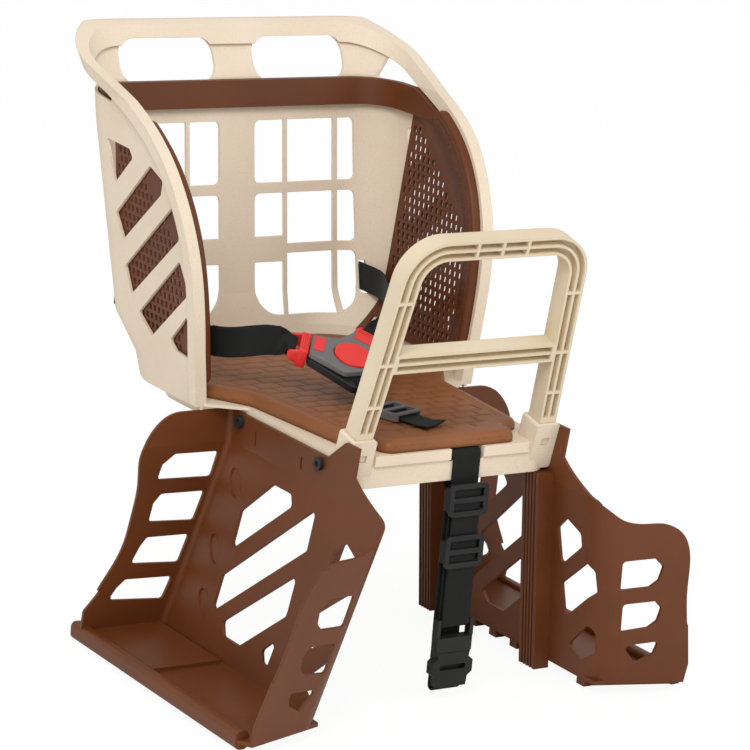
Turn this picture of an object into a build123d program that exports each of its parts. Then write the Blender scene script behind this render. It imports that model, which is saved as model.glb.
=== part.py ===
from build123d import *
import os

os.makedirs("parts", exist_ok=True)

# General wall thickness and clearances of the mouldings
wall = 3.0
free_gap = 0.4

# Seat pan
pan_front = -150.0
pan_rear = 228.0
pan_half = 112.0
pan_rear_half = 149.0
pan_flare_start = 22.0
pan_flare_end = 48.0
pan_front_corner = 20.0
pan_rear_corner = 86.0
apron_rear = 212.0
apron_rear_corner = 50.0
apron_lip = 2.5
apron_lip_half = 84.0
apron_lip_h = 10.0
deck_top = 30.0
pan_rib_step = 48.0
pan_rib_drop = 16.0

# Carrier bosses below the pan
boss_spacing_x = 80.0
boss_spacing_y = 120.0
boss_r = 10.0
boss_hole_r = 3.3

# Back and wings, from the rounded foot over the upright part to the flared collar
back_z = (24.0, 46.0, 80.0, 262.0, 292.0, 346.0)
back_half = (147.0, 149.0, 153.0, 171.0, 173.0, 192.0)
back_rear = (226.0, 231.0, 240.0, 267.0, 273.0, 300.0)
back_corner = (88.0, 84.0, 46.0, 42.0, 46.0, 66.0)
wing_front = 10.0
rim_out = 5.0
rim_in = 4.0
rim_width = 13.0

# Side outline of the wings, from the pan up to the top edge
wing_foot = (46.0, 26.0)
wing_knee = (57.0, 184.0)
wing_shoulder = (100.0, 251.0)
wing_crown = (188.0, 300.0)
wing_nape = (262.0, 327.0)
wing_top = (300.0, 345.0)
wing_points = (wing_foot, wing_knee, wing_shoulder, wing_crown, wing_nape, wing_top)
wing_inward = ((1, 0), (0.95, -0.31), (0.72, -0.69), (0.42, -0.91), (0.37, -0.93), (0.45, -0.89))
wing_top_run = (0.88, 0.47)


def wing_line(inset):
    return [(p[0] + inset * n[0], p[1] + inset * n[1]) for p, n in zip(wing_points, wing_inward)]


wing_edge = wing_line(0)
rim_edge = wing_line(rim_width)

# Back wall windows
win_inner = (20.0, 54.0)
win_mid = (58.0, 112.0)
win_outer = (117.0, 136.0)
win_row_top = (187.0, 249.0)
win_row_mid = (126.0, 177.0)
win_row_low = (56.0, 117.0)
win_hub_step = 8.0
win_corner = 6.0
win_foot_corner = 30.0
head_win_centre = 75.0
head_win_length = 106.0
head_win_height = 42.0
head_win_corner = 17.0
head_win_z = 308.0

with BuildPart() as back_wall:
    for height, half, rear, corner in zip(back_z, back_half, back_rear, back_corner):
        with BuildSketch(Plane.XY.offset(height)) as plan:
            with Locations((0, (wing_front + rear + wall) / 2)):
                Rectangle(2 * (half + wall), rear + wall - wing_front)
            fillet(plan.vertices().group_by(Axis.Y)[-1], corner + wall)
            with BuildSketch(Plane.XY.offset(height), mode=Mode.SUBTRACT) as inside:
                with Locations((0, (wing_front + rear) / 2 - wall)):
                    Rectangle(2 * half, rear - wing_front + 2 * wall)
                fillet(inside.vertices().group_by(Axis.Y)[-1], corner)
    loft(ruled=True)
    with BuildSketch(Plane.YZ):
        with BuildLine():
            Polyline((400, wing_edge[-1][1]), (400, -60), (wing_edge[0][0], -60), wing_edge[0])
            Spline(*wing_edge, tangents=((0, 1), wing_top_run))
            Line(wing_edge[-1], (400, wing_edge[-1][1]))
        make_face()
    extrude(amount=300, both=True, mode=Mode.INTERSECT)

with BuildPart() as back_rim:
    for height, half, rear, corner in zip(back_z, back_half, back_rear, back_corner):
        with BuildSketch(Plane.XY.offset(height)) as plan:
            with Locations((0, (wing_front + rear + wall + rim_out) / 2)):
                Rectangle(2 * (half + wall + rim_out), rear + wall + rim_out - wing_front)
            fillet(plan.vertices().group_by(Axis.Y)[-1], corner + wall + rim_out)
            with BuildSketch(Plane.XY.offset(height), mode=Mode.SUBTRACT) as inside:
                with Locations((0, (wing_front + rear - rim_in) / 2 - wall)):
                    Rectangle(2 * (half - rim_in), rear - rim_in - wing_front + 2 * wall)
                fillet(inside.vertices().group_by(Axis.Y)[-1], corner - rim_in)
    loft(ruled=True)
    with BuildSketch(Plane.YZ):
        with BuildLine():
            Polyline((400, wing_edge[-1][1]), (400, -60), (wing_edge[0][0], -60), wing_edge[0])
            Spline(*wing_edge, tangents=((0, 1), wing_top_run))
            Line(wing_edge[-1], (400, wing_edge[-1][1]))
        make_face()
        with BuildSketch(Plane.YZ, mode=Mode.SUBTRACT):
            with BuildLine():
                Polyline((400, rim_edge[-1][1]), (400, -60), (rim_edge[0][0], -60), rim_edge[0])
                Spline(*rim_edge, tangents=((0, 1), wing_top_run))
                Line(rim_edge[-1], (400, rim_edge[-1][1]))
            make_face()
    extrude(amount=300, both=True, mode=Mode.INTERSECT)
    with BuildSketch(Plane.XY.offset(-100)):
        with Locations((0, 150)):
            Rectangle(600, 700)
    extrude(amount=100 + deck_top - wall, mode=Mode.SUBTRACT)


# Wing cut-outs, given as side-view corners (distance back, height)
wing_cuts = (
    ((216, 248), (171, 246), (165, 238), (201, 207)),
    ((132, 238), (108, 228), (112, 214), (187, 155), (201, 178)),
    ((89, 209), (77, 186), (81, 177), (174, 104), (185, 130)),
    ((79, 159), (66, 135), (66, 128), (135, 73), (160, 90)),
    ((68, 108), (62, 103), (60, 68), (90, 70), (100, 78)),
    ((58, 48), (58, 36), (66, 37), (68, 42)),
    ((262, 312), (240, 304), (188, 282), (262, 290)),
)
wing_cut_corner = 3.0

# Slots for the lap straps in the back wall
strap_slot_x = 140.0
strap_slot_w = 6.0
strap_slot_h = 32.0
strap_slot_z = 92.0

# Grab bar: a leaning hoop, narrower at the top, with a crossbar
bar_lean = 14.0
bar_root_y = -145.5
bar_root_z = 46.0
bar_depth = 19.0
bar_half = 109.0
bar_top_half = 96.0
leg_width = 18.0
bar_height = 197.0
bar_corner = 42.0
cross_low = 69.0
cross_width = 18.0
bar_flange = 2.6
bar_channel = 5.1
bar_pocket = 8.0
bar_rib = 3.0
leg_rib_at = (36.0, 139.0)
top_rib_step = 27.0
leg_x = bar_half - leg_width / 2
leg_knee = 6.0
leg_tail = -32.0
socket_low = -42.0
socket_top = 4.0
bar_plane = Plane(origin=(0, bar_root_y, bar_root_z), x_dir=(1, 0, 0),
                  z_dir=Vector(0, -1, 0).rotate(Axis.X, bar_lean))
latch_height = -14.0
latch_w = 8.0
latch_h = 6.0


def hoop_line(inset):
    low = bar_half - inset
    high = bar_top_half - inset
    top = bar_height - inset
    return (-low, leg_tail), (low, leg_tail), (low, leg_knee), (high, top), (-high, top), (-low, leg_knee)


# Footrest bolts
bolt_y = (-112.0, 28.0)
bolt_z = 15.0
bolt_r = 3.0
bolt_hole_r = 3.3

# Front belt notch in the apron
belt_x = 16.0
belt_w = 30.0
belt_t = 1.6
belt_notch_w = 36.0

with BuildPart() as seat_shell:
    add(back_wall.part)
    add(back_rim.part)
    # Deck of the pan
    with BuildSketch(Plane.XY.offset(deck_top - wall)) as deck:
        Polygon((-pan_half, pan_front), (pan_half, pan_front), (pan_half, pan_flare_start),
                (pan_rear_half, pan_flare_end), (pan_rear_half, pan_rear), (-pan_rear_half, pan_rear),
                (-pan_rear_half, pan_flare_end), (-pan_half, pan_flare_start), align=None)
        fillet(deck.vertices().group_by(Axis.Y)[0], pan_front_corner)
        fillet(deck.vertices().group_by(Axis.Y)[-1], pan_rear_corner)
    extrude(amount=wall)
    # Apron around the pan
    with BuildSketch() as apron:
        with Locations((0, (pan_front + apron_rear) / 2)):
            Rectangle(2 * pan_half, apron_rear - pan_front)
        fillet(apron.vertices().group_by(Axis.Y)[0], pan_front_corner)
        fillet(apron.vertices().group_by(Axis.Y)[-1], apron_rear_corner)
        with BuildSketch(mode=Mode.SUBTRACT) as apron_hollow:
            with Locations((0, (pan_front + apron_rear) / 2)):
                Rectangle(2 * (pan_half - wall), apron_rear - pan_front - 2 * wall)
            fillet(apron_hollow.vertices().group_by(Axis.Y)[0], pan_front_corner - wall)
            fillet(apron_hollow.vertices().group_by(Axis.Y)[-1], apron_rear_corner - wall)
    extrude(amount=deck_top - wall)
    # Lip along the front edge
    with BuildSketch(Plane.XY.offset(deck_top - apron_lip_h)):
        with Locations((0, pan_front)):
            Rectangle(2 * apron_lip_half, 2 * apron_lip)
    extrude(amount=apron_lip_h)
    # Ribs below the deck
    with BuildSketch(Plane.XY.offset(deck_top - pan_rib_drop)) as ribs:
        with Locations((0, (pan_front + apron_rear) / 2)):
            with GridLocations(0, pan_rib_step, 1, 6):
                Rectangle(2 * pan_half - wall, wall - 0.5)
            with GridLocations(pan_rib_step, 0, 3, 1):
                Rectangle(wall - 0.5, apron_rear - pan_front - wall)
    extrude(amount=pan_rib_drop - wall)
    # Bosses for the carrier bolts
    with BuildSketch() as bosses:
        with GridLocations(boss_spacing_x, boss_spacing_y, 2, 2):
            Circle(boss_r)
    extrude(amount=deck_top - wall)
    with BuildSketch():
        with GridLocations(boss_spacing_x, boss_spacing_y, 2, 2):
            Circle(boss_hole_r)
    extrude(amount=deck_top, mode=Mode.SUBTRACT)
    # Sockets for the grab bar legs
    with BuildSketch(bar_plane):
        with Locations((-leg_x, (socket_low + socket_top) / 2), (leg_x, (socket_low + socket_top) / 2)):
            RectangleRounded(leg_width + 2 * (free_gap + wall), socket_top - socket_low, 3)
    extrude(amount=bar_depth / 2 + free_gap + wall, both=True)
    with BuildSketch(bar_plane):
        with Locations((-leg_x, leg_tail / 2 + 10), (leg_x, leg_tail / 2 + 10)):
            Rectangle(leg_width + 2 * free_gap, 20 - leg_tail + 2 * free_gap)
    extrude(amount=bar_depth / 2 + free_gap, both=True, mode=Mode.SUBTRACT)
    with BuildSketch(bar_plane.offset(bar_depth / 2)):
        with Locations((-leg_x, latch_height), (leg_x, latch_height)):
            Rectangle(latch_w + 2 * free_gap, latch_h + 2 * free_gap)
    extrude(amount=20, mode=Mode.SUBTRACT)
    # Windows of the back wall, the lowest row rounded at the foot and crossed by slim bars
    for row in (win_row_top, win_row_mid, win_row_low):
        with BuildSketch(Plane.XZ):
            for side in (-1, 1):
                with BuildSketch(Plane.XZ) as window:
                    with Locations((side * (win_inner[0] + win_outer[1]) / 2, sum(row) / 2)):
                        Rectangle(win_outer[1] - win_inner[0], row[1] - row[0])
                    fillet(window.vertices().group_by(Axis.Y)[-1], win_corner)
                    fillet(window.vertices().group_by(Axis.Y)[0],
                           win_foot_corner if row == win_row_low else win_corner)
                with Locations((side * (win_inner[1] + win_mid[0]) / 2, sum(row) / 2)):
                    Rectangle(win_mid[0] - win_inner[1], 2 * (row[1] - row[0]), mode=Mode.SUBTRACT)
                with Locations((side * (win_mid[1] + win_outer[0]) / 2, sum(row) / 2)):
                    Rectangle(win_outer[0] - win_mid[1], 2 * (row[1] - row[0]), mode=Mode.SUBTRACT)
                if row != win_row_top:
                    edge = row[0] if row == win_row_mid else row[1]
                    with Locations((side * win_inner[0], edge)):
                        Rectangle(2 * (win_inner[1] - win_inner[0]), 2 * win_hub_step, mode=Mode.SUBTRACT)
        extrude(amount=-400, mode=Mode.SUBTRACT)
    with BuildSketch(Plane.XZ):
        with Locations((head_win_centre, head_win_z), (-head_win_centre, head_win_z)):
            RectangleRounded(head_win_length, head_win_height, head_win_corner)
        with Locations((strap_slot_x, strap_slot_z), (-strap_slot_x, strap_slot_z)):
            Rectangle(strap_slot_w, strap_slot_h)
    extrude(amount=-400, mode=Mode.SUBTRACT)
    # Cut-outs of the wings
    for corners in wing_cuts:
        with BuildSketch(Plane.YZ) as cut:
            Polygon(*corners, align=None)
            fillet(cut.vertices(), wing_cut_corner)
        extrude(amount=300, both=True, mode=Mode.SUBTRACT)
    # Bolt holes for the footrests
    with BuildSketch(Plane.YZ):
        with Locations(*[(y, bolt_z) for y in bolt_y]):
            Circle(bolt_hole_r)
    extrude(amount=300, both=True, mode=Mode.SUBTRACT)
    # Notch where the front belt leaves the pan
    with BuildSketch(Plane.XY.offset(deck_top - wall)):
        with Locations((belt_x, pan_front + 12)):
            Rectangle(belt_notch_w, 40)
    extrude(amount=wall, mode=Mode.SUBTRACT)
    with BuildSketch(Plane.XY.offset(deck_top - 4 * wall)):
        with Locations((belt_x, pan_front)):
            Rectangle(belt_notch_w, 2 * wall + 1)
    extrude(amount=3 * wall, mode=Mode.SUBTRACT)

seat_shell.part.label = "seat_shell"
export_step(seat_shell.part, "parts/seat_shell.step")

# Side liner: a band across the back and a panel inside each wing
liner_gap = 0.6
liner_t = 2.4
liner_band = (264.0, 290.0)
liner_band_t = 8.0
liner_rear = 205.0
liner_inset = 14.0
liner_roll = 11.0
liner_foot = 44.0
liner_edge = wing_line(liner_inset)
roll_edge = wing_line(liner_inset + liner_roll)
liner_slot = (4.0, 7.0)
liner_slot_step = (14.0, 12.0)
liner_slot_start = (86.0, 60.0)
liner_holes = [(liner_slot_start[0] + liner_slot_step[0] * (i + 0.5 * (j % 2)),
                liner_slot_start[1] + liner_slot_step[1] * j)
               for i in range(8) for j in range(17) if 12 * j < 112 + 12 * i]

with BuildPart() as liner_hollow:
    for height, half, rear, corner in zip(back_z, back_half, back_rear, back_corner):
        with BuildSketch(Plane.XY.offset(height)) as inside:
            with Locations((0, (wing_front + rear - liner_gap - liner_t) / 2 - wall)):
                Rectangle(2 * (half - liner_gap - liner_t),
                          rear - liner_gap - liner_t - wing_front + 2 * wall)
            fillet(inside.vertices().group_by(Axis.Y)[-1], corner - liner_gap - liner_t)
    loft(ruled=True)
    with BuildSketch(Plane.YZ):
        with BuildLine():
            Polyline((400, roll_edge[-1][1]), (400, -60), (roll_edge[0][0], -60), roll_edge[0])
            Spline(*roll_edge, tangents=((0, 1), wing_top_run))
            Line(roll_edge[-1], (400, roll_edge[-1][1]))
        make_face()
        Polygon((0, liner_band[0]), (500, liner_band[0]), (500, 500), (0, 500), align=None, mode=Mode.SUBTRACT)
    extrude(amount=300, both=True, mode=Mode.INTERSECT)

with BuildPart() as side_liner:
    for height, half, rear, corner in zip(back_z, back_half, back_rear, back_corner):
        with BuildSketch(Plane.XY.offset(height)) as plan:
            with Locations((0, (wing_front + rear - liner_gap) / 2)):
                Rectangle(2 * (half - liner_gap), rear - liner_gap - wing_front)
            fillet(plan.vertices().group_by(Axis.Y)[-1], corner - liner_gap)
            with BuildSketch(Plane.XY.offset(height), mode=Mode.SUBTRACT) as inside:
                with Locations((0, (wing_front + rear - liner_gap - liner_band_t) / 2 - wall)):
                    Rectangle(2 * (half - liner_gap - liner_band_t),
                              rear - liner_gap - liner_band_t - wing_front + 2 * wall)
                fillet(inside.vertices().group_by(Axis.Y)[-1], corner - liner_gap - liner_band_t)
    loft(ruled=True)
    with BuildSketch(Plane.YZ):
        with BuildLine():
            Polyline((400, liner_edge[-1][1]), (400, -60), (liner_edge[0][0], -60), liner_edge[0])
            Spline(*liner_edge, tangents=((0, 1), wing_top_run))
            Line(liner_edge[-1], (400, liner_edge[-1][1]))
        make_face()
        Polygon((0, liner_band[1]), (500, liner_band[1]), (500, 500), (0, 500), align=None, mode=Mode.SUBTRACT)
        Polygon((0, -100), (500, -100), (500, liner_foot), (0, liner_foot), align=None, mode=Mode.SUBTRACT)
    extrude(amount=300, both=True, mode=Mode.INTERSECT)
    # Thin panels behind the rolled edge, and nothing across the back below the band
    add(liner_hollow.part, mode=Mode.SUBTRACT)
    with BuildSketch(Plane.YZ):
        Polygon((liner_rear, liner_band[0]), (400, liner_band[0]), (400, 0), (liner_rear, 0), align=None)
    extrude(amount=300, both=True, mode=Mode.SUBTRACT)
    # Perforation of the side panels
    with BuildSketch(Plane.YZ):
        with Locations(*liner_holes):
            Rectangle(liner_slot[0], liner_slot[1])
    extrude(amount=300, both=True, mode=Mode.SUBTRACT)

side_liner.part.label = "side_liner"
export_step(side_liner.part, "parts/side_liner.step")

# Seat pad with a rounded front, a welt line and a woven embossing
pad_front = -149.0
pad_rear = 217.0
pad_front_half = 72.0
pad_shoulder_half = 97.0
pad_waist_half = 109.0
pad_rear_half = 136.0
pad_rear_corner = 76.0
pad_shoulder_y = -114.0
pad_waist_y = 24.0
pad_wide_y = 66.0
pad_bottom = deck_top + 0.3
pad_t = 12.0
pad_edge = 6.0
pad_groove_w = 1.4
pad_groove_d = 0.8
pad_groove_step = (26.0, 17.0)
pad_margin = 10.0

with BuildPart() as seat_pad:
    with BuildSketch(Plane.XY.offset(pad_bottom)) as pad_plan:
        Polygon((-pad_front_half, pad_front), (pad_front_half, pad_front),
                (pad_front_half + 3, pad_shoulder_y - 8), (pad_shoulder_half, pad_shoulder_y),
                (pad_waist_half, pad_waist_y), (pad_rear_half, pad_wide_y), (pad_rear_half, pad_rear),
                (-pad_rear_half, pad_rear), (-pad_rear_half, pad_wide_y), (-pad_waist_half, pad_waist_y),
                (-pad_shoulder_half, pad_shoulder_y), (-pad_front_half - 3, pad_shoulder_y - 8), align=None)
        fillet(pad_plan.vertices().group_by(Axis.Y)[0], 10)
        fillet(pad_plan.vertices().group_by(Axis.Y)[-1], pad_rear_corner)
    extrude(amount=pad_t)
    fillet(seat_pad.edges().group_by(Axis.Z)[-1], pad_edge)
    # Rows across the pad and short joints between them, set off from row to row
    with BuildSketch(Plane.XY.offset(pad_bottom + pad_t - pad_groove_d)):
        with Locations((0, (pad_front + pad_rear) / 2)):
            with GridLocations(0, pad_groove_step[1], 1, 20):
                Rectangle(2 * pad_rear_half, pad_groove_w)
            with GridLocations(pad_groove_step[0], 2 * pad_groove_step[1], 11, 10):
                Rectangle(pad_groove_w, pad_groove_step[1])
            with Locations((pad_groove_step[0] / 2, pad_groove_step[1])):
                with GridLocations(pad_groove_step[0], 2 * pad_groove_step[1], 11, 10):
                    Rectangle(pad_groove_w, pad_groove_step[1])
        with BuildSketch(Plane.XY.offset(pad_bottom + pad_t - pad_groove_d), mode=Mode.INTERSECT):
            Polygon((-pad_front_half + pad_margin, pad_front + pad_margin),
                    (pad_front_half - pad_margin, pad_front + pad_margin),
                    (pad_waist_half - pad_margin, pad_waist_y), (pad_rear_half - pad_margin, pad_wide_y + 6),
                    (pad_rear_half - pad_margin, pad_rear - 74), (pad_rear_half - 74, pad_rear - pad_margin),
                    (-pad_rear_half + 74, pad_rear - pad_margin), (-pad_rear_half + pad_margin, pad_rear - 74),
                    (-pad_rear_half + pad_margin, pad_wide_y + 6),
                    (-pad_waist_half + pad_margin, pad_waist_y), align=None)
    extrude(amount=10, mode=Mode.SUBTRACT)

seat_pad.part.label = "seat_pad"
export_step(seat_pad.part, "parts/seat_pad.step")

# Grab bar
with BuildPart() as grab_bar:
    with BuildSketch(bar_plane) as hoop:
        with BuildSketch(bar_plane) as outer:
            Polygon(*hoop_line(0), align=None)
            fillet(outer.vertices().group_by(Axis.Y)[-1], bar_corner)
        with BuildSketch(bar_plane, mode=Mode.SUBTRACT) as inner:
            Polygon(*hoop_line(leg_width), align=None)
            fillet(inner.vertices().group_by(Axis.Y)[-1], bar_corner - leg_width)
        with Locations((0, cross_low + cross_width / 2)):
            Rectangle(2 * bar_top_half, cross_width)
    extrude(amount=bar_depth / 2, both=True)
    # Two channels side by side all along the front face, bridged by small ribs
    for inset in (bar_flange, 2 * bar_flange + bar_channel):
        with BuildSketch(bar_plane.offset(bar_depth / 2 - bar_pocket)) as channel:
            with BuildSketch(bar_plane.offset(bar_depth / 2 - bar_pocket)) as outer:
                Polygon(*hoop_line(inset), align=None)
                fillet(outer.vertices().group_by(Axis.Y)[-1], bar_corner - inset)
            with BuildSketch(bar_plane.offset(bar_depth / 2 - bar_pocket), mode=Mode.SUBTRACT) as inner:
                Polygon(*hoop_line(inset + bar_channel), align=None)
                fillet(inner.vertices().group_by(Axis.Y)[-1], bar_corner - inset - bar_channel)
            with Locations((0, (leg_tail + leg_knee) / 2 + 2)):
                Rectangle(3 * bar_half, leg_knee - leg_tail + 4, mode=Mode.SUBTRACT)
            with Locations(*[(0, height) for height in leg_rib_at], (0, cross_low + cross_width / 2)):
                Rectangle(3 * bar_half, bar_rib, mode=Mode.SUBTRACT)
            with Locations((0, bar_height)):
                with GridLocations(top_rib_step, 0, 3, 1):
                    Rectangle(bar_rib, 4 * leg_width, mode=Mode.SUBTRACT)
        extrude(amount=bar_pocket, mode=Mode.SUBTRACT)
    with BuildSketch(bar_plane.offset(bar_depth / 2 - bar_pocket)):
        with Locations((0, cross_low + cross_width / 2)):
            with GridLocations(0, bar_channel + bar_flange, 1, 2):
                Rectangle(2 * (bar_top_half - leg_width) + 10, bar_channel)
    extrude(amount=bar_pocket, mode=Mode.SUBTRACT)
    # Snap tongues that show in the sockets
    with BuildSketch(bar_plane.offset(bar_depth / 2)):
        with Locations((-leg_x, latch_height), (leg_x, latch_height)):
            Rectangle(latch_w, latch_h)
    extrude(amount=wall - 0.6)

grab_bar.part.label = "grab_bar"
export_step(grab_bar.part, "parts/grab_bar.step")

# Footrests: one wall bent round three sides that splays out and rakes back as it drops, on a floor
rest_t = 3.2
rest_top = 23.5
rest_ear_top = 45.0
rest_bend_z = -8.0
rest_splay = 0.21
rest_rake = 0.17
rest_drop = 190.0
rest_lean = Vector(rest_splay, rest_rake, -1)
rest_wall_x = pan_half + free_gap
rest_mid_x = rest_wall_x + rest_t / 2
rest_rear_y = 48.0
rest_rear_bend = 7.0
rest_front_y = -210.0
rest_front_bend = 30.0
rest_front_turn = 75.0
rest_floor = -196.0
floor_t = 4.0
floor_out = 244.0
floor_in = 152.0
floor_front = -216.0
floor_rear = 96.0
floor_lip_w = 13.0
floor_lip_h = 17.0
floor_step = 1.3
floor_step_y = (34.0, -1.0, -36.0)
foot_drop = 11.0
post_y = (-143.0, 33.0)
post_w = (25.0, 20.0)
post_d = 16.0
post_groove = 2.4
side_plane = Plane(origin=(rest_wall_x + rest_t, 0, rest_bend_z), x_dir=(0, 1, 0), z_dir=(1, 0, rest_splay))
inner_cuts = (
    ((-1, -62), (-42, -25), (-73, -25), (-79, -35), (-1, -99)),
    ((2, -124), (-117, -26), (-119, -64), (4, -160)),
    ((-18, -162), (-114, -88), (-114, -126), (-53, -174), (-25, -174)),
    ((-90, -166), (-108, -150), (-108, -176), (-96, -176)),
    ((-158, -54), (-174, -40), (-195, -49), (-195, -62), (-158, -92)),
    ((-157, -110), (-201, -76), (-210, -82), (-209, -103), (-157, -145)),
    ((-160, -171), (-194, -140), (-201, -146), (-198, -168), (-178, -181)),
)
front_cuts = (
    ((146, -68), (177, -65), (187, -74), (186, -88), (179, -95), (151, -98)),
    ((157, -113), (188, -110), (196, -118), (195, -131), (188, -138), (162, -142)),
    ((168, -157), (202, -153), (200, -166), (184, -176)),
)
rear_cuts = (
    ((125, -18), (172, -17), (184, -27), (187, -42), (129, -44)),
    ((133, -58), (180, -57), (187, -66), (189, -85), (140, -88)),
    ((142, -102), (188, -101), (194, -110), (201, -127), (149, -131)),
    ((153, -145), (204, -143), (212, -151), (219, -163), (160, -168)),
)
rear_outline = ((166, rest_top), (192, 13), (208, -18), (206, -44), (208, -82), (217, -123), (231, -152), (243, -172))
front_outline = ((118, -12), (136, -25), (158, -30), (178, -30), (197, -40), (209, -62), (217, -105), (226, -138), (237, -178))
leaf_dents = ((19, -34), (24, -100), (20, -152))

with BuildPart() as footrest_left:
    with BuildSketch(Plane.XY.offset(rest_bend_z)) as rest_plan:
        with BuildLine():
            rear_run = Line((floor_out + 26, rest_rear_y), (rest_mid_x + rest_rear_bend, rest_rear_y))
            rear_turn = JernArc(start=rear_run @ 1, tangent=rear_run % 1, radius=rest_rear_bend, arc_size=90)
            side_run = Line(rear_turn @ 1, (rest_mid_x, rest_front_y))
            front_turn = JernArc(start=side_run @ 1, tangent=side_run % 1, radius=rest_front_bend,
                                 arc_size=rest_front_turn)
            front_run = Line(front_turn @ 1, (front_turn @ 1) + 110 * (front_turn % 1))
        trace(line_width=rest_t)
    extrude(amount=rest_ear_top - rest_bend_z + 10)
    extrude(rest_plan.sketch, amount=rest_drop * rest_lean.length, dir=rest_lean)
    # Top edge with the ear beside the leg socket and the sweep down to the front wall
    with BuildSketch(Plane.YZ.offset(rest_wall_x - 20)) as above:
        with BuildLine():
            Polyline((-242, -17), (-330, -17), (-330, 150), (200, 150), (200, rest_top), (-122, rest_top),
                     (-150, rest_ear_top), (-171, rest_ear_top), (-167, 17))
            Spline((-167, 17), (-184, 6), (-214, -7), (-242, -17))
        make_face()
    extrude(amount=200, mode=Mode.SUBTRACT)
    # Free edges of the rear and front walls
    with BuildSketch(Plane.XZ.offset(-150)):
        with BuildLine():
            Polyline(rear_outline[-1], (243, -230), (330, -230), (330, 90), (150, 90), (150, rest_top), rear_outline[0])
            Spline(*rear_outline, tangents=((1, 0), (0.6, -0.8)))
        make_face()
    extrude(amount=150, mode=Mode.SUBTRACT)
    with BuildSketch(Plane.XZ.offset(180)):
        with BuildLine():
            Polyline(front_outline[-1], (237, -230), (330, -230), (330, 0), (118, 0), front_outline[0])
            Spline(*front_outline, tangents=((0.8, -0.6), (0.25, -0.97)))
        make_face()
    extrude(amount=150, mode=Mode.SUBTRACT)
    # Openings of the three walls
    for corners in inner_cuts:
        with BuildSketch(Plane.YZ.offset(rest_wall_x - 12)) as cut:
            Polygon(*corners, align=None)
            fillet(cut.vertices(), 4)
        extrude(amount=80, mode=Mode.SUBTRACT)
    for corners in rear_cuts:
        with BuildSketch(Plane.XZ.offset(-20)) as cut:
            Polygon(*corners, align=None)
            fillet(cut.vertices(), 3.5)
        extrude(amount=-120, mode=Mode.SUBTRACT)
    for corners in front_cuts:
        with BuildSketch(Plane.XZ.offset(190)) as cut:
            Polygon(*corners, align=None)
            fillet(cut.vertices(), 3.5)
        extrude(amount=120, mode=Mode.SUBTRACT)
    # Leaf-shaped dents behind the rear posts
    with BuildSketch(side_plane):
        with Locations(*leaf_dents):
            Ellipse(15, 9, rotation=52)
    extrude(amount=-1.4, mode=Mode.SUBTRACT)
    # Slits below the top edge
    with BuildSketch(Plane.YZ.offset(rest_wall_x - 2)):
        with Locations((1, 6), (-80, 6)):
            SlotOverall(13, 3, rotation=90)
    extrude(amount=10, mode=Mode.SUBTRACT)
    # Grooved posts on the wheel side
    with BuildSketch(Plane.XY.offset(rest_bend_z)) as posts:
        for along, width in zip(post_y, post_w):
            with Locations((rest_wall_x - post_d / 2 + 0.5, along)):
                Rectangle(post_d + 1, width)
            with Locations((rest_wall_x - post_d, along)):
                with GridLocations(2 * post_groove, 2 * post_groove, 1, 4):
                    Rectangle(8, post_groove, mode=Mode.SUBTRACT)
    extrude(amount=-rest_bend_z - 1.0)
    extrude(posts.sketch, amount=(rest_drop + foot_drop) * rest_lean.length, dir=rest_lean)
    # Floor with stepped treads, a thick rounded lip and feet
    with BuildSketch(Plane.XY.offset(rest_floor - floor_t)) as floor_plan:
        Polygon((floor_in, floor_front + 18), (floor_out - 10, floor_front - 6), (floor_out, floor_front + 8),
                (floor_out, floor_rear), (floor_in, floor_rear - 16), align=None)
    extrude(amount=floor_t)
    for tread in floor_step_y:
        with BuildSketch(Plane.XY.offset(rest_floor)):
            with Locations(((floor_in + floor_out) / 2 + 2, (tread + 79) / 2)):
                Rectangle(floor_out - floor_in - 8, 79 - tread)
        extrude(amount=floor_step * (floor_step_y.index(tread) + 1))
    with BuildSketch(Plane.XZ.offset(-floor_rear)):
        with Locations((floor_out - floor_lip_w / 2, rest_floor - 1)):
            RectangleRounded(floor_lip_w, floor_lip_h, 5)
    extrude(amount=floor_rear - floor_front - 6)
    with BuildSketch(Plane.XY.offset(rest_floor - floor_t)):
        with Locations(*[(floor_in + 9, tread - 30) for tread in floor_step_y], (floor_in + 9, floor_front + 40)):
            Rectangle(16, 12)
    extrude(amount=-foot_drop + floor_t)
    # Bolt holes
    with BuildSketch(Plane.YZ):
        with Locations(*[(y, bolt_z) for y in bolt_y]):
            Circle(bolt_hole_r)
    extrude(amount=300, mode=Mode.SUBTRACT)
    # Room for the leg socket
    with BuildSketch(bar_plane):
        with Locations((leg_x, (socket_low + socket_top) / 2)):
            Rectangle(leg_width + 2 * (2 * free_gap + wall), socket_top - socket_low + 2 * free_gap)
    extrude(amount=bar_depth / 2 + 2 * free_gap + wall, both=True, mode=Mode.SUBTRACT)

footrest_left.part.label = "footrest_left"
export_step(footrest_left.part, "parts/footrest_left.step")

with BuildPart() as footrest_right:
    mirror(footrest_left.part, about=Plane.YZ)

footrest_right.part.label = "footrest_right"
export_step(footrest_right.part, "parts/footrest_right.step")

# Bolts and nuts that hold the footrests to the apron
bolt_head_r = 6.0
bolt_head_t = 4.5
bolt_tip = pan_half - wall - 9.0
nut_r = 6.2
nut_t = 5.0

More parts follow.
